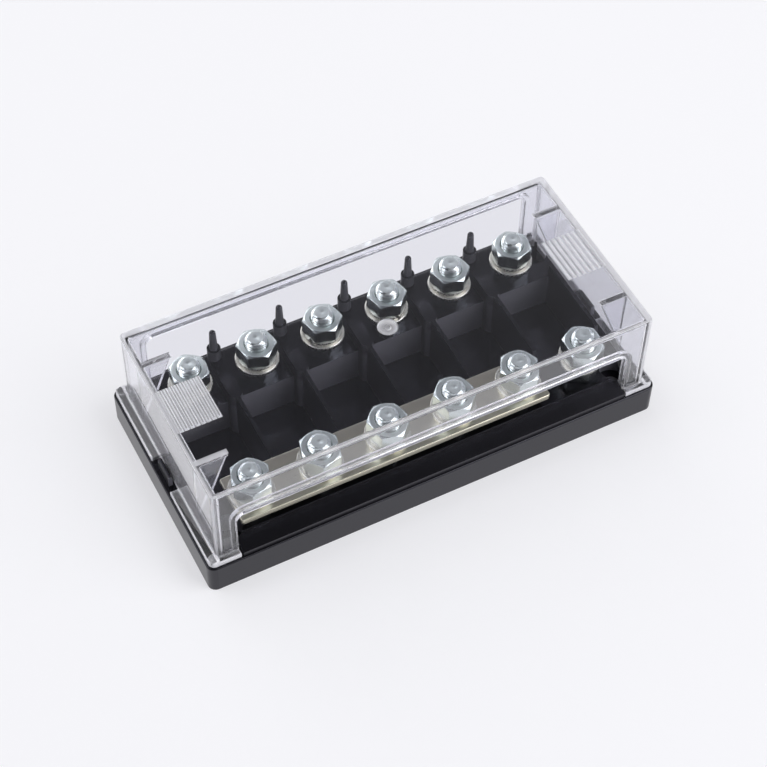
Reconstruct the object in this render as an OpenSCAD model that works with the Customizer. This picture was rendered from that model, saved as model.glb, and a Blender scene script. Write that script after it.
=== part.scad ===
// Bolt-down fuse holder: black moulded base with two rows of studs, a common
// bar along the front row and a clear cover that lifts off.
// Length along X, cables leave along Y, studs stand up along Z. Sizes in mm.

/* [Ways] */
// Distance between neighbouring fuse ways
way_pitch = 26; // [25:0.5:29]
// Distance between the two studs of one fuse
stud_span = 50.8; // [49.6:0.4:54]
// Distance of the stud rows' middle in front of the base's middle
stud_shift = 1.3; // [0:0.1:2]

/* [Base] */
// Base length past the outer ways at each end
end_margin = 10.5; // [10:0.5:13]
// Base width outside the stud rows, on average
side_margin = 17.7; // [17.3:0.2:20.3]
// Radius of the base's upright corners
base_corner = 3; // [2.5:0.5:4]
// Rounding of the base's top edge
base_edge = 0.5; // [0.3:0.1:1]
// Height of the ledge that the cover stands on
ledge_h = 12.4; // [12:0.4:16]
// Height of the deck above the ledge
deck_rise = 5; // [4.4:0.2:6]
// Ledge width left in front of the deck
deck_inset = 0.8; // [0.6:0.1:2]
// Ledge width left behind the deck
rear_ledge = 4.2; // [3.6:0.2:5]
// Length of the sloping apron at the deck's front
apron_l = 8.25; // [4:0.25:8.5]
// Height of the apron's front edge above the ledge
apron_h = 2; // [0.5:0.1:2.4]
// Rounding of the deck's rear edge
rear_round = 1; // [0.4:0.2:2]
// Thickness of the wells' floors
well_floor = 2.5; // [2:0.5:4]
// Distance from a stud row to the wells' walls
well_room = 8.1; // [7.8:0.1:9]
// Radius of the wells' corners
well_corner = 1; // [0.5:0.25:2]

/* [Ribs and barriers] */
// Thickness of the ribs between the wells
rib_t = 1.5; // [1.2:0.1:2]
// Height of ribs and barriers above the deck
rib_rise = 5.6; // [4:0.2:7]
// Distance from the front stud row to the ribs' front ends
rib_room = 10.1; // [9.8:0.1:12]
// Thickness of the barriers between the rear studs
barrier_t = 5; // [4:0.25:6]
// Barrier length in front of the rear stud row
barrier_front = 12; // [10:0.5:14]
// Barrier length behind the rear stud row
barrier_rear = 10.9; // [9:0.1:11.5]
// Height of the posts' shoulders above the barriers
shoulder_h = 5; // [2:0.5:6]
// Height of the posts' pins above the shoulders
pin_h = 9.4; // [4:0.2:10]
// Pin radius at its foot
pin_foot = 1.6; // [1.4:0.1:1.9]
// Pin radius at its rounded top
pin_tip = 1.2; // [0.8:0.1:1.3]

/* [Screw holes] */
// Distance from the base's ends to the screw holes
screw_end = 11.5; // [10:0.25:12]
// Distance of the screw holes outside the stud rows
screw_out = 4.8; // [4:0.2:5.4]
// Radius of the screw holes
screw_r = 2.75; // [2.25:0.25:3.25]
// Radius of the sunk seats for the screw heads
seat_r = 5.8; // [5:0.1:6]
// Height of the screw heads' seats
seat_z = 8; // [7.5:0.5:9]

/* [Bolts and nuts] */
// Radius of the threads
thread_r = 4; // [3.5:0.1:4]
// Width across flats of nuts and bolt heads
hex_af = 13; // [12.6:0.1:13.4]
// Height of the nuts
nut_h = 6.2; // [5.5:0.1:6.5]
// Height of the thin nuts under the bar
thin_nut_h = 4.5; // [3.2:0.1:4.8]
// Height of the bolt heads
head_h = 5.3; // [4.8:0.1:5.6]
// Depth of the pockets that hold the bolt heads
pocket_h = 6; // [5.8:0.1:6.2]
// Length of the bolts under the head
bolt_len = 30; // [29.5:0.25:31]
// Chamfer at the bolts' tips
tip_chamfer = 1; // [0.5:0.1:1.2]

/* [Washers] */
// Outer radius of the washers
washer_r = 8; // [7.6:0.1:8.6]
// Thickness of the washers
washer_t = 1.4; // [1.2:0.1:1.8]
// Rounded-off edge of the washers, as a chamfer
washer_edge = 0.25; // [0.1:0.05:0.4]
// Outer radius of the spring washers
spring_r = 7.1; // [6.8:0.1:7.4]
// Thickness of the spring washers
spring_t = 1.6; // [1.2:0.1:2]
// Width of the spring washers' split
spring_split = 1; // [0.6:0.1:1.4]

/* [Common bar] */
// Width of the bar
bar_w = 18.8; // [18:0.2:22]
// Thickness of the bar
bar_t = 2.5; // [2:0.25:3.25]
// Bar length past its first and last stud
bar_end = 8; // [7:0.25:10]
// Distance of the bar's middle in front of the stud row
bar_shift = 0.6; // [0:0.1:2]
// Radius of the bar's corners
bar_corner = 1; // [0.5:0.25:2]

/* [Cover] */
// Distance from the base's ends to the cover's end walls
cover_end = 4.1; // [3.6:0.1:4.6]
// Distance from the stud rows to the cover's long walls
cover_room = 13.4; // [13:0.1:14]
// Height of the cover
cover_h = 36.6; // [34:0.2:40]
// Thickness of the cover's walls
cover_wall = 2; // [1.6:0.1:2.2]
// Radius of the cover's upright corners
cover_corner = 1.5; // [1.2:0.1:4]
// Rounding of the cover's top edge
cover_edge = 0.4; // [0.3:0.1:1]
// Radius of the cover's upright corners, inside
cover_inner = 1.2; // [1:0.1:2]
// Radius between the cover's roof and walls, inside
cover_fillet = 0.6; // [0.3:0.1:0.9]
// Wall length left between the cover's ends and the openings
open_end = 8.4; // [8:0.1:9]
// Height of the front opening
front_open = 20.8; // [18:0.2:23]
// Height of the rear opening
rear_open = 31; // [27:0.2:32]
// Radius of the openings' upper corners
open_corner = 3.5; // [2:0.25:5]
// Width of the lip around each opening
lip_w = 2; // [1.2:0.1:2.2]
// Depth of the front lip, wall included
lip_front = 3.8; // [3:0.1:4]
// Depth of the rear lip, wall included
lip_rear = 3.2; // [3:0.1:3.6]
// Thickness of the foot flange
flange_t = 2; // [1.5:0.1:2.5]
// Distance of the flange's edge inside the base's edge
flange_inset = 0.8; // [0.6:0.1:1.4]
// Distance of the corners' round pads from the flange's edges
pad_rim = 0.4; // [0.2:0.1:0.8]
// Height of the round pads
pad_h = 0.5; // [0.2:0.1:1]
// Width of the notch in each end flange
notch_w = 16; // [12:0.5:18]
// Distance of the gussets from the cover's middle
gusset_y = 23.3; // [20:0.1:25]
// Thickness of the gussets
gusset_t = 1.8; // [1.2:0.1:2.2]
// Length of the gussets along the cover's top
gusset_l = 10.4; // [8:0.2:12]
// Height of the gussets' lower tips above the ledge
gusset_z = 7.6; // [5:0.2:10]
// Number of ribs in each grip patch
grip_count = 8; // [6:1:9]
// Distance between grip ribs
grip_pitch = 2; // [1.6:0.1:2.1]
// Length of the grip ribs
grip_l = 19; // [12:0.5:24]
// Radius of the grip ribs
grip_r = 0.6; // [0.3:0.05:0.7]
// Distance of the first grip rib from the cover's end
grip_end = 2.6; // [2.4:0.1:4]
// Radius of the gate mark on the cover's top
gate_r = 3.5; // [2:0.25:5]
// Depth of the gate mark
gate_d = 0.4; // [0.2:0.1:0.6]

/* [Latches] */
// Length of the latch nose at each end of the base
latch_l = 9; // [6:0.5:11]
// Thickness of the latch noses
latch_t = 1.6; // [1.2:0.1:1.8]
// Height of the latch noses above the ledge
latch_h = 5; // [2:0.2:6]

/* [Fits] */
// Radial play between thread and nut
thread_gap = 0.05; // [0.03:0.01:0.1]
// Radial play of bolts in plain holes
hole_gap = 0.25; // [0.15:0.05:0.4]
// Play of the bolt heads in their pockets, each side
pocket_gap = 0.1; // [0.05:0.05:0.3]
// Play between the base and the cover
cover_gap = 0.6; // [0.4:0.1:0.8]

/* [Hidden] */
$fn = 48;
ways = 6;
bar_ways = 5;
eps = 0.5;
base_x = ways * way_pitch / 2 + end_margin;
base_y = stud_span / 2 + side_margin;
row_y = stud_span / 2;
mid_y = -stud_shift;
front_y = mid_y - row_y;
rear_y = mid_y + row_y;
deck_z = ledge_h + deck_rise;
rib_z = deck_z + rib_rise;
shoulder_z = rib_z + shoulder_h;
post_z = shoulder_z + pin_h;
post_y = rear_y + barrier_rear - barrier_t / 2;
well_y = row_y - well_room;
cover_x = base_x - cover_end;
cover_y = row_y + cover_room;
cover_z = ledge_h + cover_h;
roof_z = cover_z - cover_wall;
open_x = cover_x - open_end;
front_open_z = ledge_h + front_open;
rear_open_z = ledge_h + rear_open;
deck_x = cover_x - cover_wall - cover_gap;
deck_mid_x = open_x - cover_gap;
deck_front_y = base_y - deck_inset;
deck_rear_y = base_y - rear_ledge;
deck_end_y = cover_y - max(lip_front, lip_rear) - cover_gap;
screw_x = base_x - screw_end;
screw_y = row_y + screw_out;
pad_r = base_corner - flange_inset - pad_rim;
hex_corner = hex_af / sqrt(3);
stud_hole_r = thread_r + hole_gap;
bolt_top = pocket_h + bolt_len;
bar_z = deck_z + thin_nut_h;
bar_x0 = stud_x(1) - bar_end;
bar_x1 = stud_x(bar_ways) + bar_end;
core_w = way_pitch - 2 * hex_corner - 4;
core_l = 2 * hex_corner;
core_z = deck_z - 4;
// Turn of each nut about its stud, as the wrench left it
rear_turn = [23, 41, 44, 45, 44, 19];
front_turn = [10, 14, 44, 45, 59, 27];

// Middle of a way along the base, counted from the left
function stud_x(way) = (way - (ways + 1) / 2) * way_pitch;

// Top of whatever carries the washer on a front stud
function front_seat(way) = way <= bar_ways ? bar_z + bar_t : deck_z + nut_h;

// Flat outline with round corners
module outline(l, w, r) {
    square([l - 2 * r, w], center = true);
    square([l, w - 2 * r], center = true);
    for (x = [-1, 1], y = [-1, 1])
        translate([x * (l / 2 - r), y * (w / 2 - r)])
            circle(r);
}

// Block with round upright corners and a truly rounded top edge:
// straight edges are cylinders and corners are pieces of a torus
module soft_block(l, w, h, r, edge) {
    linear_extrude(h - edge)
        outline(l, w, r);
    linear_extrude(h)
        outline(l - 2 * edge, w - 2 * edge, r - edge);
    for (y = [-1, 1])
        translate([0, y * (w / 2 - edge), h - edge])
            rotate([0, 90, 0])
                cylinder(r = edge, h = l - 2 * r, center = true);
    for (x = [-1, 1])
        translate([x * (l / 2 - edge), 0, h - edge])
            rotate([90, 0, 0])
                cylinder(r = edge, h = w - 2 * r, center = true);
    for (x = [-1, 1], y = [-1, 1])
        translate([x * (l / 2 - r), y * (w / 2 - r), h - edge])
            rotate_extrude()
                translate([r - edge, 0])
                    circle(edge);
}

// Six-sided prism with the usual turned chamfers at its two ends
module hex_block(h, lower, upper) {
    slope = tan(30);
    face_r = hex_af / 2 * 0.97;
    rise = (hex_corner - face_r) * slope;
    intersection() {
        cylinder(r = hex_corner, h = h, $fn = 6);
        rotate_extrude()
            polygon([
                [0, 0],
                [lower ? face_r : hex_corner + eps, 0],
                [hex_corner + eps, lower ? rise + eps * slope : 0],
                [hex_corner + eps, upper ? h - rise - eps * slope : h],
                [upper ? face_r : hex_corner + eps, h],
                [0, h]
            ]);
    }
}

// Nut standing on z 0
module nut(h) {
    difference() {
        hex_block(h, true, true);
        translate([0, 0, -eps])
            cylinder(r = thread_r + thread_gap, h = h + 2 * eps);
    }
}

// Bolt pushed up from below: head in its pocket, shank standing up as a stud
module bolt() {
    translate([0, 0, pocket_h - head_h])
        hex_block(head_h, true, false);
    translate([0, 0, pocket_h - eps])
        cylinder(r = thread_r, h = bolt_len - tip_chamfer + eps);
    translate([0, 0, bolt_top - tip_chamfer])
        cylinder(r1 = thread_r, r2 = thread_r - tip_chamfer * 0.8, h = tip_chamfer);
}

// Flat washer standing on z 0
module washer() {
    rotate_extrude()
        polygon([
            [stud_hole_r, 0],
            [washer_r, 0],
            [washer_r, washer_t - washer_edge],
            [washer_r - washer_edge, washer_t],
            [stud_hole_r, washer_t]
        ]);
}

// Spring washer standing on z 0: a flat coil, split on a slant
module spring_washer() {
    difference() {
        cylinder(r = spring_r, h = spring_t);
        translate([0, 0, -eps])
            cylinder(r = stud_hole_r, h = spring_t + 2 * eps);
        translate([spring_r / 2 + thread_r / 2, 0, spring_t / 2])
            rotate([35, 0, 0])
                cube([spring_r, spring_split, 4 * spring_t], center = true);
    }
}

// Places its children on one rear or front stud
module at_rear(way, z) {
    translate([stud_x(way), rear_y, z])
        children();
}

module at_front(way, z) {
    translate([stud_x(way), front_y, z])
        children();
}

// Side view of the deck across the holder: sloping apron in front, round edge behind
module deck_profile() {
    polygon([
        [-deck_front_y, ledge_h - eps],
        [deck_rear_y, ledge_h - eps],
        [deck_rear_y, deck_z - rear_round],
        [deck_rear_y - rear_round, deck_z],
        [apron_l - deck_front_y, deck_z],
        [-deck_front_y, ledge_h + apron_h]
    ]);
    translate([deck_rear_y - rear_round, deck_z - rear_round])
        circle(rear_round);
}

// Barrier between two rear studs, with its post
module barrier() {
    half = barrier_t / 2;
    nose_y = rear_y - barrier_front + half;
    translate([0, 0, well_floor - eps])
        linear_extrude(rib_z - well_floor + eps) {
            translate([0, nose_y])
                circle(half);
            translate([0, post_y])
                circle(half);
            translate([-half, nose_y])
                square([barrier_t, post_y - nose_y]);
        }
    translate([0, post_y, rib_z - eps])
        cylinder(r = half, h = shoulder_h + eps);
    translate([0, post_y, shoulder_z])
        cylinder(r1 = pin_foot, r2 = pin_tip, h = pin_h - pin_tip);
    translate([0, post_y, post_z - pin_tip])
        sphere(pin_tip);
}

// Latch nose in the notch of the cover's end flange
module latch() {
    x0 = cover_x + cover_gap;
    translate([x0, -latch_l / 2, ledge_h - eps])
        cube([latch_t, latch_l, latch_h - latch_t / 2 + eps]);
    translate([x0 + latch_t / 2, 0, ledge_h + latch_h - latch_t / 2])
        rotate([90, 0, 0])
            cylinder(r = latch_t / 2, h = latch_l, center = true);
}

module base() {
    color([0.07, 0.07, 0.075])
        difference() {
            union() {
                difference() {
                    union() {
                        soft_block(2 * base_x, 2 * base_y, ledge_h, base_corner, base_edge);
                        rotate([90, 0, 90])
                            linear_extrude(2 * deck_mid_x, center = true)
                                deck_profile();
                        translate([-deck_x, mid_y - deck_end_y, ledge_h - eps])
                            cube([2 * deck_x, 2 * deck_end_y, deck_rise + eps]);
                    }
                    for (way = [1:ways])
                        translate([stud_x(way), mid_y, well_floor])
                            linear_extrude(deck_z)
                                outline(way_pitch - rib_t, 2 * well_y, well_corner);
                }
                for (k = [0:ways])
                    translate([(k - ways / 2) * way_pitch - rib_t / 2, front_y + rib_room, deck_z - eps])
                        cube([rib_t, well_y + row_y - rib_room + eps, rib_rise + eps]);
                for (k = [1:ways - 1])
                    translate([(k - ways / 2) * way_pitch, 0, 0])
                        barrier();
                latch();
                mirror([1, 0, 0])
                    latch();
            }
            for (way = [1:ways], y = [front_y, rear_y])
                translate([stud_x(way), y, 0]) {
                    translate([0, 0, -eps])
                        cylinder(r = stud_hole_r, h = deck_z + 2 * eps);
                    translate([0, 0, -eps])
                        cylinder(r = hex_corner + pocket_gap / cos(30), h = pocket_h + eps, $fn = 6);
                }
            for (x = [-screw_x, screw_x], y = [mid_y - screw_y, mid_y + screw_y])
                translate([x, y, 0]) {
                    translate([0, 0, -eps])
                        cylinder(r = screw_r, h = seat_z + 2 * eps);
                    translate([0, 0, seat_z])
                        cylinder(r = seat_r, h = deck_z);
                }
            for (k = [1:ways - 1], y = [front_y, rear_y])
                translate([(k - ways / 2) * way_pitch, y, -eps])
                    linear_extrude(core_z + eps)
                        outline(core_w, core_l, well_corner);
        }
}

// Cable opening in a long wall: its upper corners are round
module opening_shape(grow, top) {
    half = open_x + grow;
    r = open_corner + grow;
    translate([-half, ledge_h - eps])
        square([2 * half, top + grow - ledge_h + eps - r]);
    translate([r - half, ledge_h - eps])
        square([2 * half - 2 * r, top + grow - ledge_h + eps]);
    for (x = [-1, 1])
        translate([x * (half - r), top + grow - r])
            circle(r);
}

// Lip that lines a cable opening, from the wall's outer face inwards
module lip(depth, top) {
    rotate([90, 0, 0])
        linear_extrude(depth)
            difference() {
                opening_shape(lip_w, top);
                opening_shape(0, top);
                translate([-cover_x, -eps])
                    square([2 * cover_x, ledge_h + eps]);
            }
}

// Three-cornered stiffener between the cover's roof and end wall
module gusset() {
    wall_x = cover_x - cover_wall;
    rotate([90, 0, 0])
        linear_extrude(gusset_t, center = true)
            polygon([
                [wall_x - gusset_l, roof_z + eps],
                [wall_x + eps, roof_z + eps],
                [wall_x + eps, ledge_h + gusset_z],
                [wall_x, ledge_h + gusset_z],
                [wall_x - gusset_l, roof_z]
            ]);
}

module cover() {
    flange_x = base_x - flange_inset;
    flange_y = base_y - flange_inset;
    wall_x = cover_x - cover_wall;
    wall_y = cover_y - cover_wall;
    color([0.8, 0.86, 0.9, 0.35]) {
        difference() {
            union() {
                translate([0, mid_y, ledge_h])
                    soft_block(2 * cover_x, 2 * cover_y, cover_h, cover_corner, cover_edge);
                translate([0, 0, ledge_h])
                    linear_extrude(flange_t)
                        outline(2 * flange_x, 2 * flange_y, base_corner - flange_inset);
                for (x = [-1, 1], y = [-1, 1])
                    translate([x * (base_x - base_corner), y * (base_y - base_corner), ledge_h])
                        cylinder(r = pad_r, h = flange_t + pad_h);
                for (side = [-1, 1], k = [0:grip_count - 1])
                    translate([side * (cover_x - grip_end - k * grip_pitch), mid_y, cover_z])
                        rotate([90, 0, 0])
                            cylinder(r = grip_r, h = grip_l, center = true, $fn = 24);
            }
            translate([0, mid_y, ledge_h - eps])
                soft_block(2 * wall_x, 2 * wall_y, cover_h - cover_wall + eps, cover_inner, cover_fillet);
            rotate([90, 0, 0])
                linear_extrude(base_y + eps)
                    opening_shape(0, front_open_z);
            rotate([90, 0, 0])
                translate([0, 0, -base_y - eps])
                    linear_extrude(base_y + eps)
                        opening_shape(0, rear_open_z);
            for (side = [-1, 1])
                translate([side * (cover_x + flange_x) / 2, 0, ledge_h])
                    cube([flange_x - cover_x, notch_w, 2 * flange_t + eps], center = true);
            translate([0, mid_y, cover_z - gate_d])
                difference() {
                    cylinder(r = gate_r, h = gate_d + eps);
                    cylinder(r = gate_r / 3, h = gate_d);
                }
        }
        translate([0, mid_y - cover_y + lip_front, 0])
            lip(lip_front, front_open_z);
        translate([0, mid_y + cover_y, 0])
            lip(lip_rear, rear_open_z);
        for (side = [0, 1], y = [-gusset_y, gusset_y])
            mirror([side, 0, 0])
                translate([0, mid_y + y, 0])
                    gusset();
    }
}

module busbar() {
    color([0.62, 0.6, 0.5])
        translate([0, front_y, bar_z])
            difference() {
                translate([(bar_x0 + bar_x1) / 2, -bar_shift, 0])
                    linear_extrude(bar_t)
                        outline(bar_x1 - bar_x0, bar_w, bar_corner);
                for (way = [1:bar_ways])
                    translate([stud_x(way), 0, -eps])
                        cylinder(r = stud_hole_r, h = bar_t + 2 * eps);
            }
}

// Steel pieces of one stud
module rear_bolt(way) {
    color([0.72, 0.73, 0.74])
        at_rear(way, 0)
            bolt();
}

module front_bolt(way) {
    color([0.72, 0.73, 0.74])
        at_front(way, 0)
            bolt();
}

module rear_nut(way) {
    color([0.78, 0.79, 0.8])
        at_rear(way, deck_z + nut_h + washer_t + spring_t)
            rotate(rear_turn[way - 1])
                nut(nut_h);
}

module front_nut(way) {
    color([0.78, 0.79, 0.8])
        at_front(way, front_seat(way) + washer_t + spring_t)
            rotate(front_turn[way - 1])
                nut(nut_h);
}

module rear_bolt_1() { rear_bolt(1); }
module rear_bolt_2() { rear_bolt(2); }
module rear_bolt_3() { rear_bolt(3); }
module rear_bolt_4() { rear_bolt(4); }
module rear_bolt_5() { rear_bolt(5); }
module rear_bolt_6() { rear_bolt(6); }
module front_bolt_1() { front_bolt(1); }
module front_bolt_2() { front_bolt(2); }
module front_bolt_3() { front_bolt(3); }
module front_bolt_4() { front_bolt(4); }
module front_bolt_5() { front_bolt(5); }
module front_bolt_6() { front_bolt(6); }
module rear_nut_1() { rear_nut(1); }
module rear_nut_2() { rear_nut(2); }
module rear_nut_3() { rear_nut(3); }
module rear_nut_4() { rear_nut(4); }
module rear_nut_5() { rear_nut(5); }
module rear_nut_6() { rear_nut(6); }
module front_nut_1() { front_nut(1); }
module front_nut_2() { front_nut(2); }
module front_nut_3() { front_nut(3); }
module front_nut_4() { front_nut(4); }
module front_nut_5() { front_nut(5); }
module front_nut_6() { front_nut(6); }

module rear_lower_nuts() {
    color([0.75, 0.76, 0.77])
        for (way = [1:ways])
            at_rear(way, deck_z)
                rotate(rear_turn[way - 1] / 2)
                    nut(nut_h);
}

module front_thin_nuts() {
    color([0.75, 0.76, 0.77])
        for (way = [1:bar_ways])
            at_front(way, deck_z)
                rotate(front_turn[way - 1] / 2)
                    nut(thin_nut_h);
}

module front_lower_nut() {
    color([0.75, 0.76, 0.77])
        at_front(ways, deck_z)
            rotate(front_turn[ways - 1])
                nut(nut_h);
}

module rear_washers() {
    color([0.8, 0.79, 0.74])
        for (way = [1:ways])
            at_rear(way, deck_z + nut_h)
                washer();
}

module front_washers() {
    color([0.8, 0.79, 0.74])
        for (way = [1:ways])
            at_front(way, front_seat(way))
                washer();
}

module rear_spring_washers() {
    color([0.8, 0.79, 0.74])
        for (way = [1:ways])
            at_rear(way, deck_z + nut_h + washer_t)
                rotate(70 * way)
                    spring_washer();
}

module front_spring_washers() {
    color([0.8, 0.79, 0.74])
        for (way = [1:ways])
            at_front(way, front_seat(way) + washer_t)
                rotate(100 * way)
                    spring_washer();
}

base();
cover();
busbar();
rear_bolt_1();
rear_bolt_2();
rear_bolt_3();
rear_bolt_4();
rear_bolt_5();
rear_bolt_6();
front_bolt_1();
front_bolt_2();
front_bolt_3();
front_bolt_4();
front_bolt_5();
front_bolt_6();
rear_nut_1();
rear_nut_2();
rear_nut_3();
rear_nut_4();
rear_nut_5();
rear_nut_6();
front_nut_1();
front_nut_2();
front_nut_3();
front_nut_4();
front_nut_5();
front_nut_6();
rear_lower_nuts();
front_thin_nuts();
front_lower_nut();
rear_washers();
front_washers();
rear_spring_washers();
front_spring_washers();
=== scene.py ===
# Looks of a six-way bolt-down fuse holder with a clear lift-off cover
import math
import bmesh
import bpy
from mathutils import Matrix, Vector


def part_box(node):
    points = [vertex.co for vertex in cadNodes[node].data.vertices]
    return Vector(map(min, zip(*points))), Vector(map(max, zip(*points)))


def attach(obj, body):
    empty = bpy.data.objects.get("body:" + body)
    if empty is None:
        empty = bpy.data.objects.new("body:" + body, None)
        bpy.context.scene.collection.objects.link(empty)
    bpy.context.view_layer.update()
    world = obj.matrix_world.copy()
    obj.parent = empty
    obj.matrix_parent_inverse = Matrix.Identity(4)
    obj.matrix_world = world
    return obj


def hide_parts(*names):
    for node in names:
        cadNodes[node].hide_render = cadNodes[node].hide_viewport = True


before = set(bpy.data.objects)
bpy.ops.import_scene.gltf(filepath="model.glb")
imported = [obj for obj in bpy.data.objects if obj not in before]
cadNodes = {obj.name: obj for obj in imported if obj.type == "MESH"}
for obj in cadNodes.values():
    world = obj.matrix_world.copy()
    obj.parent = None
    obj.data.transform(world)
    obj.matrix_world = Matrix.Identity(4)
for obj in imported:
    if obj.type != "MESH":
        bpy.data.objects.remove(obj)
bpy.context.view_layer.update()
mm = 0.001
ways = range(1, 7)
print("frame:", len(cadNodes), "nodes")


# Colours and nodes

def linear(hexColour):
    channels = [int(hexColour[i:i + 2], 16) / 255 for i in (1, 3, 5)]
    return [c / 12.92 if c <= 0.04045 else ((c + 0.055) / 1.055) ** 2.4 for c in channels] + [1.0]


# A link comes from a socket, or from a node's first one
def setSockets(tree, node, values, links):
    for name, value in values.items():
        node.inputs[name].default_value = value
    for name, source in links.items():
        if isinstance(source, bpy.types.Node):
            source = source.outputs[0]
        tree.links.new(source, node.inputs[name])


def addNode(tree, kind, values=None, links=None, **settings):
    made = tree.nodes.new("ShaderNode" + kind)
    for name, value in settings.items():
        setattr(made, name, value)
    setSockets(tree, made, values or {}, links or {})
    return made


def newMaterial(name):
    material = bpy.data.materials.new(name)
    material.use_nodes = True
    return material, material.node_tree, material.node_tree.nodes["Principled BSDF"]


mixA, mixB, mixOut = 6, 7, 2  # colour sockets of a Mix node


# Black moulding: glass-filled nylon out of a steel mould.
# Polished faces on top mirror the nuts, outer walls are satin. Inside the wells the walls that lie across the
# part are grey, partly a matt finish and partly painted light from the front lamp; walls facing sideways keep
# the dark colour.
blackNylon = {
    "deck": "#09090a",
    "wall": "#101013",
    "drift": "#161619",
    # painted light: light grey for the well walls that face along the part, partly a matt finish
    "well": "#6c6c73",
    "sheen": "#efedff",
    "ior": 1.46,
    "wellHalfMm": 32.0,  # the outer walls lie beyond this
    "postMm": (17.0, 19.0),  # the grey fades between these heights, so that the posts are darker
    "postShare": 0.5,
    "topFacing": (0.2, 0.9),  # how far up a face looks where the polish starts and is full
    "deckRoughness": 0.18,
    "wallRoughness": 0.3,
    "unevenness": 0.04,
    "driftMm": 16.0,
    "grainMm": 0.6,  # real grain is about 0.1 mm, drawn coarser so that it shows
    "grainDepthMm": 0.012,
    "grainStrength": 0.7,
}


def mouldedBlackNylon(look):
    material, tree, shader = newMaterial("moulded_black_nylon")
    coords = addNode(tree, "TexCoord")
    spot = coords.outputs["Object"]
    drift = addNode(tree, "TexNoise", {"Scale": 1 / (look["driftMm"] * mm), "Detail": 3.0}, {"Vector": spot})
    grain = addNode(tree, "TexNoise", {"Scale": 1 / (look["grainMm"] * mm), "Detail": 2.0}, {"Vector": spot})
    facing = addNode(tree, "SeparateXYZ", links={"Vector": coords.outputs["Normal"]})
    upward = addNode(tree, "MapRange", {"From Min": look["topFacing"][0], "From Max": look["topFacing"][1]},
                     {"Value": facing.outputs["Z"]})

    # grey walls across the part, inside the rim: partly a matt finish, partly painted light, since walls
    # facing sideways keep the dark colour
    reach = addNode(tree, "SeparateXYZ", links={"Vector": spot})
    outward = addNode(tree, "Math", links={0: reach.outputs["Y"]}, operation="ABSOLUTE")
    inside = addNode(tree, "Math", {1: look["wellHalfMm"] * mm}, {0: outward}, operation="LESS_THAN")
    crosswise = addNode(tree, "Math", links={0: facing.outputs["Y"]}, operation="ABSOLUTE")
    litWellWalls = addNode(tree, "Math", links={0: inside, 1: crosswise}, operation="MULTIPLY")
    below = addNode(tree, "MapRange", {"From Min": look["postMm"][0] * mm, "From Max": look["postMm"][1] * mm,
                                       "To Min": 1.0, "To Max": look["postShare"]},
                    {"Value": reach.outputs["Z"]})
    greyAndPaintedLight = addNode(tree, "Math", links={0: litWellWalls, 1: below}, operation="MULTIPLY")

    side = addNode(tree, "Mix", {mixA: linear(look["wall"]), mixB: linear(look["drift"])}, {0: drift},
                   data_type="RGBA")
    wall = addNode(tree, "Mix", {mixB: linear(look["well"])}, {0: greyAndPaintedLight, mixA: side.outputs[mixOut]},
                   data_type="RGBA")
    shade = addNode(tree, "Mix", {mixB: linear(look["deck"])}, {0: upward, mixA: wall.outputs[mixOut]},
                    data_type="RGBA")
    rough = addNode(tree, "MapRange", {"To Min": look["wallRoughness"], "To Max": look["deckRoughness"]},
                    {"Value": upward})
    uneven = addNode(tree, "MapRange", {"To Min": -look["unevenness"], "To Max": look["unevenness"]},
                     {"Value": drift})
    finish = addNode(tree, "Math", links={0: rough, 1: uneven}, operation="ADD")
    texture = addNode(tree, "MapRange", {"To Min": look["grainStrength"], "To Max": 0.0}, {"Value": upward})
    bump = addNode(tree, "Bump", {"Distance": look["grainDepthMm"] * mm},
                   {"Strength": texture, "Height": grain})
    setSockets(tree, shader, {"Specular Tint": linear(look["sheen"]), "IOR": look["ior"]},
               {"Base Color": shade.outputs[mixOut], "Roughness": finish, "Normal": bump})
    return material
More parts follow.
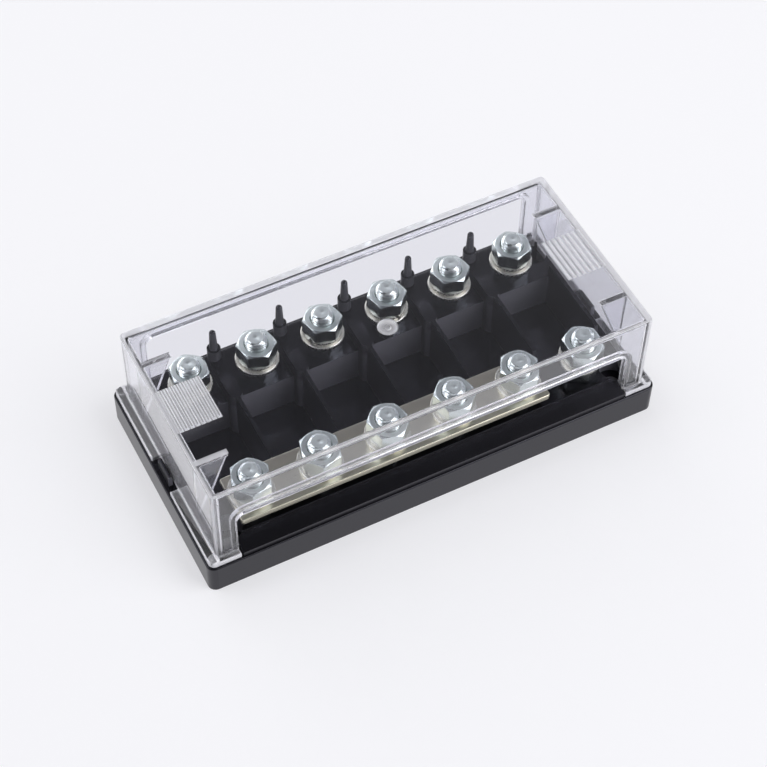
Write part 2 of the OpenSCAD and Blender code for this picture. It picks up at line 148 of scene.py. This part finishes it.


# Clear moulding: polycarbonate from a polished mould.
# Edges, grip ribs and the heads of the right and rear walls are painted white for the light they gather and
# show, the end walls have a faint haze, the flange is matt.
coverLow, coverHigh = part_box("cover")
clearCarbonate = {
    "tint": "#f6f6fb",
    "ior": 1.585,
    "polish": (0.0, 0.03),  # roughness of the polished faces, over the waves
    "flowMm": 24.0,  # faint waves where the melt flowed
    "flowDepthMm": 0.006,
    "flowStrength": 0.3,
    "lightPass": 0.86,  # share of lamp and sky light that reaches what lies under the cover
    "halfMm": (84.4, 38.8),  # outer walls from the cover's middle
    "middleYMm": -1.3,
    "changeMm": 1.0,  # values for left and right change over this distance from the middle
    "wallFacing": (0.97, 0.99),  # how squarely a wall's face looks outward where its haze starts and is full
    # painted light: a white band along the box's outer edges, for the light the clear edges gather
    "rimMm": (1.2, 2.3),  # white band along the box's outer edges, full and faded out
    "rimShiftMm": 0.8,  # wider by this at the rear and right, slimmer at the front and left
    "rimSlim": (2.3, 1.5),  # how much slimmer the band is down the walls and along upright edges
    "rimOutsideMm": 0.4,  # flange and lips, further out than this, have no band
    "rimPaintedLight": 0.6,
    # painted highlight: rounded edges are made partly white for the light they gather
    "edgeLean": (0.02, 0.1),  # how far a rounded face leans from the mould's three directions
    "edgePaintedLight": 0.24,
    "edgeRoughness": 0.3,
    "filletMm": (1.9, 4.0, 2.0),  # clear fillet under the roof: distance inside, middle depth, half range
    # painted highlight: white lines on the grip ribs' crests and flanks, set differently for the left and
    # right patch
    "gripMm": (67.0, 9.6),  # grip ribs: inner end along the cover, half length across it
    "ribMm": (0.5, 0.15),  # depth below the ribs' crests, clear and white
    "ribFootMm": 0.7,  # ribs lie above this depth
    "crownMm": (0.02, 0.14),  # the crests themselves are clearer, so that each rib shows two lines
    "crownShare": (0.6, 1.0),  # left and right patch
    "grooveShare": (0.72, 0.0),
    "gripPaintedLight": 0.54,
    "roofMm": 1.5,  # a depth that takes in the sunk floor of the gate mark
    "gateMm": 3.4,  # radius of the gate mark
    "gateRingMm": (1.4, 2.9),  # the mark's middle is clearer than its ring
    "gateMiddleShare": 0.6,
    "gateCloud": 0.5,
    "endCloud": (0.13, 0.08),  # haze of the left and the right end wall
    # painted light: the tops of the right and rear walls are made white, for the lit floor seen through them
    "headMm": (5.5, 3.5),  # depth below the top over which the right and rear walls turn white
    "headPaintedLight": 0.5,
    "gussetMm": (71.5, 23.3, 1.1),  # inner end, middle and half thickness of the corner gussets
    "gussetTopMm": 2.5,  # gussets hang below this depth
    "gussetCloud": 0.04,
    "sinkCloud": 0.42,  # sink mark above the left front gusset
    "flangeMm": 2.9,  # height that takes in the flange and its pads
    "speckMm": 0.8,
    "speckCloud": 0.3,  # about half of it on average
    "mattRoughness": 0.26,
    # painted highlight: white lines along the flange's outer edge and at the walls' foot
    "hemMm": 0.55,  # white lines along the flange's outer edge and at the walls' foot
    "hemPaintedLight": 0.7,
}


def mouldedPolycarbonate(look):
    material, tree, shader = newMaterial("moulded_clear_polycarbonate")
    coords = addNode(tree, "TexCoord")
    spot = coords.outputs["Object"]
    flow = addNode(tree, "TexNoise", {"Scale": 1 / (look["flowMm"] * mm), "Detail": 1.0}, {"Vector": spot})
    speck = addNode(tree, "TexNoise", {"Scale": 1 / (look["speckMm"] * mm), "Detail": 2.0}, {"Vector": spot})

    # reach from the cover's middle, and depth inside its outer end wall, side wall and top
    walls = (look["halfMm"][0] * mm, look["halfMm"][1] * mm, coverHigh.z)
    coverMiddle = (0, look["middleYMm"] * mm, 0)
    centred = addNode(tree, "VectorMath", {1: coverMiddle}, {0: spot}, operation="SUBTRACT")
    across = addNode(tree, "VectorMath", links={0: centred}, operation="ABSOLUTE")
    reach = addNode(tree, "SeparateXYZ", links={"Vector": across})
    inward = addNode(tree, "VectorMath", {0: walls}, {1: across}, operation="SUBTRACT")
    depth = addNode(tree, "SeparateXYZ", links={"Vector": inward})
    wallDepth = addNode(tree, "Math", links={0: depth.outputs["X"], 1: depth.outputs["Y"]},
                        operation="MINIMUM")

    # halves of the cover, and the values that differ between left and right
    position = addNode(tree, "SeparateXYZ", links={"Vector": spot})
    right, rear = [addNode(tree, "Math", {1: 0.0}, {0: position.outputs[axis]}, operation="GREATER_THAN")
                   for axis in "XY"]
    left, front = [addNode(tree, "Math", {1: 0.0}, {0: position.outputs[axis]}, operation="LESS_THAN")
                   for axis in "XY"]
    change = look["changeMm"] * mm
    sided = {name: addNode(tree, "MapRange", {"From Min": -change, "From Max": change,
                                              "To Min": look[name][0], "To Max": look[name][1]},
                           {"Value": position.outputs["X"]})
             for name in ("grooveShare", "crownShare", "endCloud")}

    # rounded edges lean away from the mould's three directions, walls look squarely outward
    plain = addNode(tree, "VectorMath", links={0: coords.outputs["Normal"]}, operation="ABSOLUTE")
    facing = addNode(tree, "SeparateXYZ", links={"Vector": plain})
    level = addNode(tree, "Math", links={0: facing.outputs["X"], 1: facing.outputs["Y"]}, operation="MAXIMUM")
    straight = addNode(tree, "Math", links={0: level, 1: facing.outputs["Z"]}, operation="MAXIMUM")
    lean = addNode(tree, "MapRange", {"From Min": 1 - look["edgeLean"][0],
                                      "From Max": 1 - look["edgeLean"][1]}, {"Value": straight})
    endWall, sideWall = [addNode(tree, "MapRange", {"From Min": look["wallFacing"][0],
                                                    "From Max": look["wallFacing"][1]},
                                 {"Value": facing.outputs[axis]}) for axis in "XY"]

    # painted light: a white band along the box's outer edges, where the second smallest depth is small
    shift = look["rimShiftMm"] * mm
    shifted = addNode(tree, "VectorMath", {1: (shift, shift, 0)}, {0: centred}, operation="ADD")
    shiftedAcross = addNode(tree, "VectorMath", links={0: shifted}, operation="ABSOLUTE")
    shiftedInward = addNode(tree, "VectorMath", {0: walls}, {1: shiftedAcross}, operation="SUBTRACT")
    margin = addNode(tree, "SeparateXYZ", links={"Vector": shiftedInward})
    nearWall, farWall = [addNode(tree, "Math", links={0: margin.outputs["X"], 1: margin.outputs["Y"]},
                                 operation=choice) for choice in ("MINIMUM", "MAXIMUM")]
    drop = addNode(tree, "Math", {1: look["rimSlim"][0]}, {0: depth.outputs["Z"]}, operation="MULTIPLY")
    aside = addNode(tree, "Math", {1: look["rimSlim"][1]}, {0: farWall}, operation="MULTIPLY")
    nextFace = addNode(tree, "Math", links={0: aside, 1: drop}, operation="MINIMUM")
    fromEdge = addNode(tree, "Math", links={0: nearWall, 1: nextFace}, operation="MAXIMUM")
    band = addNode(tree, "MapRange", {"From Min": look["rimMm"][1] * mm, "From Max": look["rimMm"][0] * mm},
                   {"Value": fromEdge}, interpolation_type="SMOOTHSTEP")
    within = addNode(tree, "Math", {1: -look["rimOutsideMm"] * mm}, {0: wallDepth}, operation="GREATER_THAN")
    rim = addNode(tree, "Math", links={0: band, 1: within}, operation="MULTIPLY")

    # grip ribs stand above the top, with painted white highlight lines on them
    outer = addNode(tree, "Math", {1: look["gripMm"][0] * mm}, {0: reach.outputs["X"]},
                    operation="GREATER_THAN")
    inner = addNode(tree, "Math", {1: look["gripMm"][1] * mm}, {0: reach.outputs["Y"]}, operation="LESS_THAN")
    patch = addNode(tree, "Math", links={0: outer, 1: inner}, operation="MULTIPLY")
    rise = addNode(tree, "MapRange", {"From Min": look["ribMm"][0] * mm, "From Max": look["ribMm"][1] * mm},
                   {"Value": depth.outputs["Z"], "To Min": sided["grooveShare"]})
    crown = addNode(tree, "MapRange", {"From Min": look["crownMm"][0] * mm,
                                       "From Max": look["crownMm"][1] * mm},
                    {"Value": depth.outputs["Z"], "To Min": sided["crownShare"]})
    crest = addNode(tree, "Math", links={0: rise, 1: crown}, operation="MULTIPLY")
    raised = addNode(tree, "Math", {1: look["ribFootMm"] * mm}, {0: depth.outputs["Z"]},
                     operation="LESS_THAN")
    ribs = addNode(tree, "Math", links={0: crest, 1: raised}, operation="MULTIPLY")
    grip = addNode(tree, "Math", links={0: patch, 1: ribs}, operation="MULTIPLY")

    # gate mark: a sunk disc in the middle of the roof
    flat = addNode(tree, "VectorMath", {1: (1, 1, 0)}, {0: across}, operation="MULTIPLY")
    radius = addNode(tree, "VectorMath", links={0: flat}, operation="LENGTH").outputs["Value"]
    disc = addNode(tree, "Math", {1: look["gateMm"] * mm}, {0: radius}, operation="LESS_THAN")
    roof = addNode(tree, "Math", {1: look["roofMm"] * mm}, {0: depth.outputs["Z"]}, operation="LESS_THAN")
    sunk = addNode(tree, "Math", links={0: disc, 1: roof}, operation="MULTIPLY")
    ring = addNode(tree, "MapRange", {"From Min": look["gateRingMm"][0] * mm,
                                      "From Max": look["gateRingMm"][1] * mm,
                                      "To Min": look["gateMiddleShare"]}, {"Value": radius})
    gate = addNode(tree, "Math", links={0: sunk, 1: ring}, operation="MULTIPLY")

    # hazy end walls, and painted light: the heads of the right and rear walls are made white
    ends = addNode(tree, "Math", links={0: endWall, 1: sided["endCloud"]}, operation="MULTIPLY")
    head = addNode(tree, "MapRange", {"From Min": look["headMm"][0] * mm, "From Max": look["headMm"][1] * mm,
                                      "To Max": look["headPaintedLight"]}, {"Value": depth.outputs["Z"]})
    rightWall = addNode(tree, "Math", links={0: endWall, 1: right}, operation="MULTIPLY")
    bothWalls = addNode(tree, "Math", links={0: sideWall, 1: rear, 2: rightWall}, operation="MULTIPLY_ADD")
    heads = addNode(tree, "Math", links={0: head, 1: bothWalls}, operation="MULTIPLY")

    # gussets in the corners, and a sink mark on the roof over one of them
    plate = addNode(tree, "Math", {1: look["gussetMm"][1] * mm, 2: look["gussetMm"][2] * mm},
                    {0: reach.outputs["Y"]}, operation="COMPARE")
    outside = addNode(tree, "Math", {1: look["gussetMm"][0] * mm}, {0: reach.outputs["X"]},
                      operation="GREATER_THAN")
    corner = addNode(tree, "Math", links={0: plate, 1: outside}, operation="MULTIPLY")
    under = addNode(tree, "Math", {1: look["gussetTopMm"] * mm}, {0: depth.outputs["Z"]},
                    operation="GREATER_THAN")
    gusset = addNode(tree, "Math", links={0: corner, 1: under}, operation="MULTIPLY")
    leftFront = addNode(tree, "Math", links={0: left, 1: front}, operation="MULTIPLY")
    above = addNode(tree, "Math", links={0: corner, 1: roof}, operation="MULTIPLY")
    sink = addNode(tree, "Math", links={0: above, 1: leftFront}, operation="MULTIPLY")

    # rounded edges are painted white for the light they gather, but the fillet under the roof is clear
    # between the gussets
    indoors = addNode(tree, "Math", {1: look["filletMm"][0] * mm}, {0: wallDepth}, operation="GREATER_THAN")
    beneath = addNode(tree, "Math", {1: look["filletMm"][1] * mm, 2: look["filletMm"][2] * mm},
                      {0: depth.outputs["Z"]}, operation="COMPARE")
    fillet = addNode(tree, "Math", links={0: indoors, 1: beneath}, operation="MULTIPLY")
    clearFillet = addNode(tree, "Math", links={0: fillet, 1: corner}, operation="GREATER_THAN")
    elsewhere = addNode(tree, "Math", {0: 1.0}, {1: clearFillet}, operation="SUBTRACT")
    edge = addNode(tree, "Math", links={0: lean, 1: elsewhere}, operation="MULTIPLY")

    # flange: speckled, with painted white highlight lines along its outer edge and at the walls' foot
    low = addNode(tree, "Math", {1: coverLow.z + look["flangeMm"] * mm}, {0: reach.outputs["Z"]},
                  operation="LESS_THAN")
    speckled = addNode(tree, "Math", links={0: low, 1: speck}, operation="MULTIPLY")
    spread = addNode(tree, "VectorMath", links={0: spot}, operation="ABSOLUTE")
    toOutline = addNode(tree, "VectorMath", {0: tuple(coverHigh)}, {1: spread}, operation="SUBTRACT")
    outline = addNode(tree, "SeparateXYZ", links={"Vector": toOutline})
    border = addNode(tree, "Math", links={0: outline.outputs["X"], 1: outline.outputs["Y"]},
                     operation="MINIMUM")
    foot = addNode(tree, "Math", links={0: depth.outputs["X"]}, operation="ABSOLUTE")
    line = addNode(tree, "Math", links={0: border, 1: foot}, operation="MINIMUM")
    slim = addNode(tree, "Math", {1: look["hemMm"] * mm}, {0: line}, operation="LESS_THAN")
    hem = addNode(tree, "Math", links={0: slim, 1: low}, operation="MULTIPLY")

    # the whitest of these, haze and painted light alike, wins, so that they do not add up
    clouds = [(rim, look["rimPaintedLight"]), (edge, look["edgePaintedLight"]), (grip, look["gripPaintedLight"]),
              (gate, look["gateCloud"]), (ends, 1.0), (heads, 1.0), (hem, look["hemPaintedLight"]),
              (gusset, look["gussetCloud"]), (sink, look["sinkCloud"]), (speckled, look["speckCloud"])]
    hazeAndPaintedLight = None
    for mask, amount in clouds:
        whitening = addNode(tree, "Math", {1: amount}, {0: mask}, operation="MULTIPLY")
        hazeAndPaintedLight = addNode(tree, "Math", links={0: hazeAndPaintedLight, 1: whitening}, operation="MAXIMUM") if hazeAndPaintedLight else whitening
    through = addNode(tree, "Math", {0: 1.0}, {1: hazeAndPaintedLight}, operation="SUBTRACT")

    # shadow and scattered rays go straight through, so that the pieces inside are lit
    path = addNode(tree, "LightPath")
    passing = addNode(tree, "Math", links={0: path.outputs["Is Shadow Ray"],
                                           1: path.outputs["Is Diffuse Ray"]}, operation="MAXIMUM")
    stopped = addNode(tree, "MapRange", {"To Min": 1.0, "To Max": 1 - look["lightPass"]}, {"Value": passing})

    polish = addNode(tree, "MapRange", {"To Min": look["polish"][0], "To Max": look["polish"][1]},
                     {"Value": flow})
    worn = addNode(tree, "Math", {1: look["edgeRoughness"]}, {0: edge, 2: polish}, operation="MULTIPLY_ADD")
    finish = addNode(tree, "Math", {1: look["mattRoughness"]}, {0: low, 2: worn}, operation="MULTIPLY_ADD")
    bump = addNode(tree, "Bump", {"Strength": look["flowStrength"], "Distance": look["flowDepthMm"] * mm},
                   {"Height": flow})
    setSockets(tree, shader, {"Base Color": linear(look["tint"]), "IOR": look["ior"]},
               {"Transmission Weight": through, "Roughness": finish, "Alpha": stopped, "Normal": bump})
    return material


# Plated metal: a bright colour that drifts a little, with grain or brush lines.
# Flat tops are duller than the burnished edges and sides.
flatTop = (0.95, 0.99)  # how far up a face looks where it starts to dull and is dullest
# Cold-formed steel nuts, bright zinc with a bluish passivation
zincNut = {"cool": "#c6d2d2", "warm": "#dce1de", "driftMm": 2.0, "grainMm": (0.7, 0.7, 0.7),
           "depthMm": 0.003, "roughness": (0.16, 0.3), "topDull": 0.16}
# Rolled threads, the same plate a little duller
zincThread = {"cool": "#c8d2d2", "warm": "#dce1de", "driftMm": 2.0, "grainMm": (0.4, 0.4, 0.4),
              "depthMm": 0.003, "roughness": (0.18, 0.3), "topDull": 0.24}
# Stamped washers, zinc with a slight yellow cast
zincWasher = {"cool": "#cccec9", "warm": "#d6d2c7", "driftMm": 5.0, "grainMm": (0.6, 0.6, 0.6),
              "depthMm": 0.004, "roughness": (0.18, 0.36), "topDull": 0.1}
# Drawn brass bar, dull nickel plate, brush lines along its length
platedBar = {"cool": "#bebcae", "warm": "#cdc8b6", "driftMm": 9.0, "grainMm": (14.0, 0.5, 0.5),
             "depthMm": 0.008, "roughness": (0.2, 0.36), "topDull": 0.03}


def platedMetal(name, look):
    material, tree, shader = newMaterial(name)
    coords = addNode(tree, "TexCoord")
    spot = coords.outputs["Object"]
    drift = addNode(tree, "TexNoise", {"Scale": 1 / (look["driftMm"] * mm), "Detail": 2.0}, {"Vector": spot})
    stretched = addNode(tree, "Mapping", {"Scale": [1 / (g * mm) for g in look["grainMm"]]}, {"Vector": spot})
    grain = addNode(tree, "TexNoise", {"Scale": 1.0, "Detail": 3.0}, {"Vector": stretched})
    shade = addNode(tree, "Mix", {mixA: linear(look["cool"]), mixB: linear(look["warm"])}, {0: drift},
                    data_type="RGBA")
    rough = addNode(tree, "MapRange", {"To Min": look["roughness"][0], "To Max": look["roughness"][1]},
                    {"Value": grain})
    facing = addNode(tree, "SeparateXYZ", links={"Vector": coords.outputs["Normal"]})
    flat = addNode(tree, "MapRange", {"From Min": flatTop[0], "From Max": flatTop[1]},
                   {"Value": facing.outputs["Z"]})
    finish = addNode(tree, "Math", {1: look["topDull"]}, {0: flat, 2: rough}, operation="MULTIPLY_ADD")
    bump = addNode(tree, "Bump", {"Strength": 0.5, "Distance": look["depthMm"] * mm}, {"Height": grain})
    setSockets(tree, shader, {"Metallic": 1.0},
               {"Base Color": shade.outputs[mixOut], "Roughness": finish, "Normal": bump})
    return material


blackMoulding = mouldedBlackNylon(blackNylon)
clearMoulding = mouldedPolycarbonate(clearCarbonate)
nutPlate = platedMetal("zinc_plated_nut_steel", zincNut)
threadPlate = platedMetal("zinc_plated_rolled_thread", zincThread)
washerPlate = platedMetal("zinc_plated_washer_steel", zincWasher)
barPlate = platedMetal("nickel_plated_brass_bar", platedBar)
print("materials:", len(bpy.data.materials))


# Moulded and stamped pieces keep their solids and get slightly broken edges

brokenEdges = {
    "base": {"finish": blackMoulding, "edgeMm": 0.03, "steps": 2},
    "cover": {"finish": clearMoulding, "edgeMm": 0.35, "steps": 3},
    "busbar": {"finish": barPlate, "edgeMm": 0.35, "steps": 3},
    "rear_washers": {"finish": washerPlate, "edgeMm": 0.12, "steps": 2},
    "front_washers": {"finish": washerPlate, "edgeMm": 0.12, "steps": 2},
    "rear_spring_washers": {"finish": washerPlate, "edgeMm": 0.15, "steps": 2},
    "front_spring_washers": {"finish": washerPlate, "edgeMm": 0.15, "steps": 2},
}
weldMm = 0.002  # corners of neighbouring faces that are closer are joined
flatAngle = math.radians(0.5)  # faces that differ by less become one panel
sharpAngle = math.radians(40)  # edges that turn more are broken


def keepFlats(piece):
    flats = piece.modifiers.new("flat_faces", "WEIGHTED_NORMAL")
    flats.keep_sharp = True


def breakEdges(piece, look):
    piece.data.materials.clear()
    piece.data.materials.append(look["finish"])
    weld = piece.modifiers.new("joined_faces", "WELD")
    weld.merge_threshold = weldMm * mm
    panels = piece.modifiers.new("flat_panels", "DECIMATE")
    panels.decimate_type = "DISSOLVE"
    panels.angle_limit = flatAngle
    bevel = piece.modifiers.new("broken_edges", "BEVEL")
    bevel.width = look["edgeMm"] * mm
    bevel.segments = look["steps"]
    bevel.limit_method = "ANGLE"
    bevel.angle_limit = sharpAngle
    bevel.use_clamp_overlap = False
    bevel.harden_normals = True
    keepFlats(piece)


for nodeName, look in brokenEdges.items():
    breakEdges(cadNodes[nodeName], look)
print("broken edges:", len(brokenEdges), "pieces")


# Turned and formed hardware, in millimetres

hexagon = {
    "flats": 13.0,
    "face": 0.97,  # round face inside the flats, as a share
    "chamferSlope": math.tan(math.radians(30)),
    "cornerSharpness": 90,
    "bore": 4.05,
    "countersink": 0.45,
    "edge": 0.14,  # size of the rounded edges
    "edgeShare": 0.45,  # most of a side that a rounded edge may take
    "columns": 120,
}
thread = {
    "radius": 4.0,
    "root": 3.2,
    "pitch": 1.25,
    "start": 17.0,
    "spareTurns": 4,  # half of them run in below, half run out at the end
    "tip": 2.7,
    "tipSlope": 1.8,  # widening of the pointed end per height
    "runOut": 0.6,  # depth of the thread that runs out over the pointed end
    "dimple": (0.7, 0.35, 0.2),  # centre mark in the end: radius above and below, depth
    "shank": 3.98,
    "headHeight": 5.3,
    "columns": 48,
}
# One turn of thread: end of the root, start and end of the crest, start of the next root
threadTurn = [(1 / 8, "root"), (7 / 16, "radius"), (9 / 16, "radius"), (7 / 8, "root")]
# Turn of each nut about its stud, in degrees, as the wrench left it
nutTurns = {"rear": [23, 41, 44, 45, 44, 19], "front": [10, 14, 44, 45, 59, 27]}
doublesMm = 0.0005  # points of an outline that fall together become one
turnedSharpAngle = math.radians(30)  # edges that turn more stay sharp


def softened(corners, radius, most, steps=3):
    points = []
    for k, corner in enumerate(corners):
        here = Vector(corner)
        before = Vector(corners[k - 1]) - here
        after = Vector(corners[(k + 1) % len(corners)]) - here
        start = here + before.normalized() * min(radius, before.length * most)
        end = here + after.normalized() * min(radius, after.length * most)
        for s in range(steps):
            t = s / (steps - 1)
            points.append(start * (1 - t) ** 2 + here * 2 * t * (1 - t) + end * t ** 2)
    return points


# Radius of a hexagon at this angle, of its round face, and the depth of the chamfer between them
def hexChamfer(angle):
    sharpness = hexagon["cornerSharpness"]
    reach = sum(max(0.0, math.cos(angle - math.radians(60 * k + 30))) ** sharpness for k in range(6))
    side = hexagon["flats"] / 2 * reach ** (-1 / sharpness)
    face = hexagon["flats"] / 2 * hexagon["face"]
    return side, face, (side - face) * hexagon["chamferSlope"]


def nutOutline(angle, height):
    side, face, drop = hexChamfer(angle)
    bore = hexagon["bore"]
    sink = hexagon["countersink"]
    corners = [(bore + sink, 0), (face, 0), (side, drop), (side, height - drop), (face, height),
               (bore + sink, height), (bore, height - sink), (bore, sink)]
    return softened(corners, hexagon["edge"], hexagon["edgeShare"])


def threadTurns(top):
    return math.ceil((top - thread["start"]) / thread["pitch"]) + thread["spareTurns"]


def threadPoints(angle, top):
    points = []
    for turn in range(threadTurns(top)):
        for share, part in threadTurn:
            climb = turn - thread["spareTurns"] / 2 + share + angle / (2 * math.pi)
            height = thread["start"] + climb * thread["pitch"]
            if height <= thread["start"]:
                points.append((thread["shank"], thread["start"]))
            elif height >= top:
                points.append((thread["tip"], top))
            else:
                point = thread["tip"] + (top - height) * thread["tipSlope"]
                if part == "root":
                    point -= thread["runOut"]
                points.append((min(thread[part], point), height))
    return points


headRows = 5  # points of a bolt's outline that come before its thread


def boltOutline(angle, low, top):
    side, face, drop = hexChamfer(angle)
    headTop = low + thread["headHeight"]
    dimpleTop, dimpleFloor, dimpleDepth = thread["dimple"]
    head = [(0, low), (face, low), (side, low + drop), (side, headTop), (thread["shank"], headTop)]
    end = [(dimpleTop, top), (dimpleFloor, top - dimpleDepth), (0, top - dimpleDepth)]
    return head + threadPoints(angle, top) + end


# A solid of revolution whose outline may change with the angle.
# Rows of a screw thread climb one turn over the seam.
def turnSolid(shape, outline, columns, centre, closed, threadRows=range(0)):
    first = len(shape["points"])
    for c in range(columns):
        angle = 2 * math.pi * c / columns
        pairs = outline(angle)
        for radius, height in pairs:
            shape["points"].append((centre[0] + radius * mm * math.cos(angle),
                                    centre[1] + radius * mm * math.sin(angle), centre[2] + height * mm))
    rows = len(pairs)
    same = list(range(rows))
    climbed = [min(r + len(threadTurn), threadRows[-1]) if r in threadRows else r for r in same]
    for c in range(columns):
        here = first + c * rows
        there = first + (c + 1) % columns * rows
        meets = climbed if c == columns - 1 else same
        for r in range(rows if closed else rows - 1):
            n = (r + 1) % rows
            shape["faces"].append((here + r, there + meets[r], there + meets[n], here + n))


def makePiece(name, shape, plate, replaced):
    mesh = bpy.data.meshes.new(name)
    mesh.from_pydata(shape["points"], [], shape["faces"])
    built = bmesh.new()
    built.from_mesh(mesh)
    bmesh.ops.remove_doubles(built, verts=built.verts, dist=doublesMm * mm)
    bmesh.ops.recalc_face_normals(built, faces=built.faces)
    built.to_mesh(mesh)
    built.free()
    mesh.shade_smooth()
    mesh.set_sharp_from_angle(angle=turnedSharpAngle)
    mesh.materials.append(plate)
    piece = bpy.data.objects.new(name, mesh)
    bpy.context.collection.objects.link(piece)
    keepFlats(piece)
    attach(piece, "holder")
    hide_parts(*replaced)


def middle(nodeName):
    low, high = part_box(nodeName)
    return (low.x + high.x) / 2, (low.y + high.y) / 2


def addNut(shape, x, y, low, high, turn):
    height = (high - low) / mm
    turnSolid(shape, lambda angle: nutOutline(angle - math.radians(turn), height), hexagon["columns"],
              (x, y, low), True)


for row in ("rear", "front"):
    for way in ways:
        nodeName = f"{row}_nut_{way}"
        low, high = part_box(nodeName)
        shape = {"points": [], "faces": []}
        addNut(shape, *middle(nodeName), low.z, high.z, nutTurns[row][way - 1])
        makePiece(f"hex_nut_{row}_{way}", shape, nutPlate, [nodeName])

        nodeName = f"{row}_bolt_{way}"
        low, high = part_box(nodeName)
        shape = {"points": [], "faces": []}
        threadRows = range(headRows, headRows + len(threadTurn) * threadTurns(high.z / mm))
        turnSolid(shape, lambda angle: boltOutline(angle, low.z / mm, high.z / mm), thread["columns"],
                  (*middle(nodeName), 0), False, threadRows)
        makePiece(f"threaded_bolt_{row}_{way}", shape, threadPlate, [nodeName])

# Nuts under the washers and the bar, turned by a share of what the nut above is
lowerNuts = {
    "rear_lower_nuts": {"row": "rear", "ways": ways, "turned": 0.5},
    "front_thin_nuts": {"row": "front", "ways": range(1, 6), "turned": 0.5},
    "front_lower_nut": {"row": "front", "ways": [6], "turned": 1.0},
}
for nodeName, look in lowerNuts.items():
    low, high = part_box(nodeName)
    shape = {"points": [], "faces": []}
    for way in look["ways"]:
        addNut(shape, *middle(f"{look['row']}_bolt_{way}"), low.z, high.z,
               nutTurns[look["row"]][way - 1] * look["turned"])
    makePiece("hex_" + nodeName, shape, nutPlate, [nodeName])
print("hardware: bolts, nuts and lower nuts")


# Camera at the photograph's view

camera = {
    "azimuth": -28.19,
    "elevation": 52.16,
    "roll": 1.19,
    "placeMm": (-207.1, -385.5, 578.9),
    "lens": 92.99,
    "sensor": 36.0,
    "clip": (0.01, 50.0),
}


def placeCamera(look):
    around = math.radians(look["azimuth"])
    above = math.radians(look["elevation"])
    roll = math.radians(look["roll"])
    back = Vector((math.sin(around) * math.cos(above), -math.cos(around) * math.cos(above), math.sin(above)))
    level = Vector((math.cos(around), math.sin(around), 0))
    upright = back.cross(level)
    right = level * math.cos(roll) + upright * math.sin(roll)
    up = upright * math.cos(roll) - level * math.sin(roll)
    data = bpy.data.cameras.new("studio_camera")
    data.lens = look["lens"]
    data.sensor_width = look["sensor"]
    data.clip_start, data.clip_end = look["clip"]
    stand = bpy.data.objects.new("studio_camera", data)
    bpy.context.collection.objects.link(stand)
    turn = Matrix((right, up, back)).transposed()
    stand.matrix_world = Matrix.Translation(Vector(look["placeMm"]) * mm) @ turn.to_4x4()
    bpy.context.scene.camera = stand


placeCamera(camera)
print("camera:", camera["azimuth"], camera["elevation"])


# Floor: matt pale paper. Part of it is plain white to the camera and in reflections,
# so that the background stays pale and the shadow still shows.
paleFloor = {
    "paper": "#f4f4f7",
    "roughness": 0.9,
    "size": 8.0,
    "whiteShare": {"Is Camera Ray": 0.55, "Is Glossy Ray": 0.8, "Is Transmission Ray": 0.97},
}


def layFloor(look):
    half = look["size"] / 2
    corners = [(-half, -half, 0), (half, -half, 0), (half, half, 0), (-half, half, 0)]
    mesh = bpy.data.meshes.new("studio_floor")
    mesh.from_pydata(corners, [], [(0, 1, 2, 3)])
    floor = bpy.data.objects.new("studio_floor", mesh)
    bpy.context.collection.objects.link(floor)
    paper, tree, shader = newMaterial("pale_paper")
    setSockets(tree, shader, {"Base Color": linear(look["paper"]), "Roughness": look["roughness"]}, {})
    path = addNode(tree, "LightPath")
    share = None
    for ray, amount in look["whiteShare"].items():
        seen = addNode(tree, "Math", {1: amount}, {0: path.outputs[ray]}, operation="MULTIPLY")
        share = addNode(tree, "Math", links={0: share, 1: seen}, operation="MAXIMUM") if share else seen
    white = addNode(tree, "Emission", {"Color": linear(look["paper"]), "Strength": 1.0})
    lifted = addNode(tree, "MixShader", links={0: share, 1: shader, 2: white})
    setSockets(tree, tree.nodes["Material Output"], {}, {"Surface": lifted})
    mesh.materials.append(paper)


layFloor(paleFloor)


# Soft studio light: three softboxes, and a world that is darker overhead and in front
softboxes = {
    "right": {"place": (1.05, -1.0, 1.2), "size": 1.5, "power": 27.0},
    "left": {"place": (-1.15, 0.75, 1.45), "size": 1.0, "power": 10.0},
    "rear": {"place": (-0.2, 1.8, 0.9), "size": 1.2, "power": 11.0},
}
studioWorld = {
    "horizon": "#efeff3",
    "overhead": "#68686e",
    "overheadFrom": (0.45, 0.8),  # upward part of the direction, horizon and overhead
    "frontFrom": (-0.9, 0.1),  # rearward part of the direction, dimmest and full
    "frontShare": 0.55,
}


def hangSoftbox(name, look):
    data = bpy.data.lights.new(name, "AREA")
    data.size = look["size"]
    data.energy = look["power"]
    softbox = bpy.data.objects.new(name, data)
    softbox.location = look["place"]
    softbox.rotation_euler = Vector(look["place"]).to_track_quat("Z", "Y").to_euler()
    bpy.context.collection.objects.link(softbox)


def lightWorld(look):
    world = bpy.data.worlds.new("studio")
    world.use_nodes = True
    tree = world.node_tree
    coords = addNode(tree, "TexCoord")
    sight = addNode(tree, "SeparateXYZ", links={"Vector": coords.outputs["Generated"]})
    climb = addNode(tree, "MapRange", {"From Min": look["overheadFrom"][0],
                                       "From Max": look["overheadFrom"][1]}, {"Value": sight.outputs["Z"]})
    front = addNode(tree, "MapRange", {"From Min": look["frontFrom"][0], "From Max": look["frontFrom"][1],
                                       "To Min": look["frontShare"]}, {"Value": sight.outputs["Y"]})
    sky = addNode(tree, "Mix", {mixA: linear(look["horizon"]), mixB: linear(look["overhead"])}, {0: climb},
                  data_type="RGBA")
    setSockets(tree, tree.nodes["Background"], {}, {"Color": sky.outputs[mixOut], "Strength": front})
    bpy.context.scene.world = world


for name, look in softboxes.items():
    hangSoftbox(name + "_softbox", look)
lightWorld(studioWorld)
bpy.context.scene.view_settings.view_transform = "Standard"
print("studio: floor,", len(softboxes), "softboxes and world")
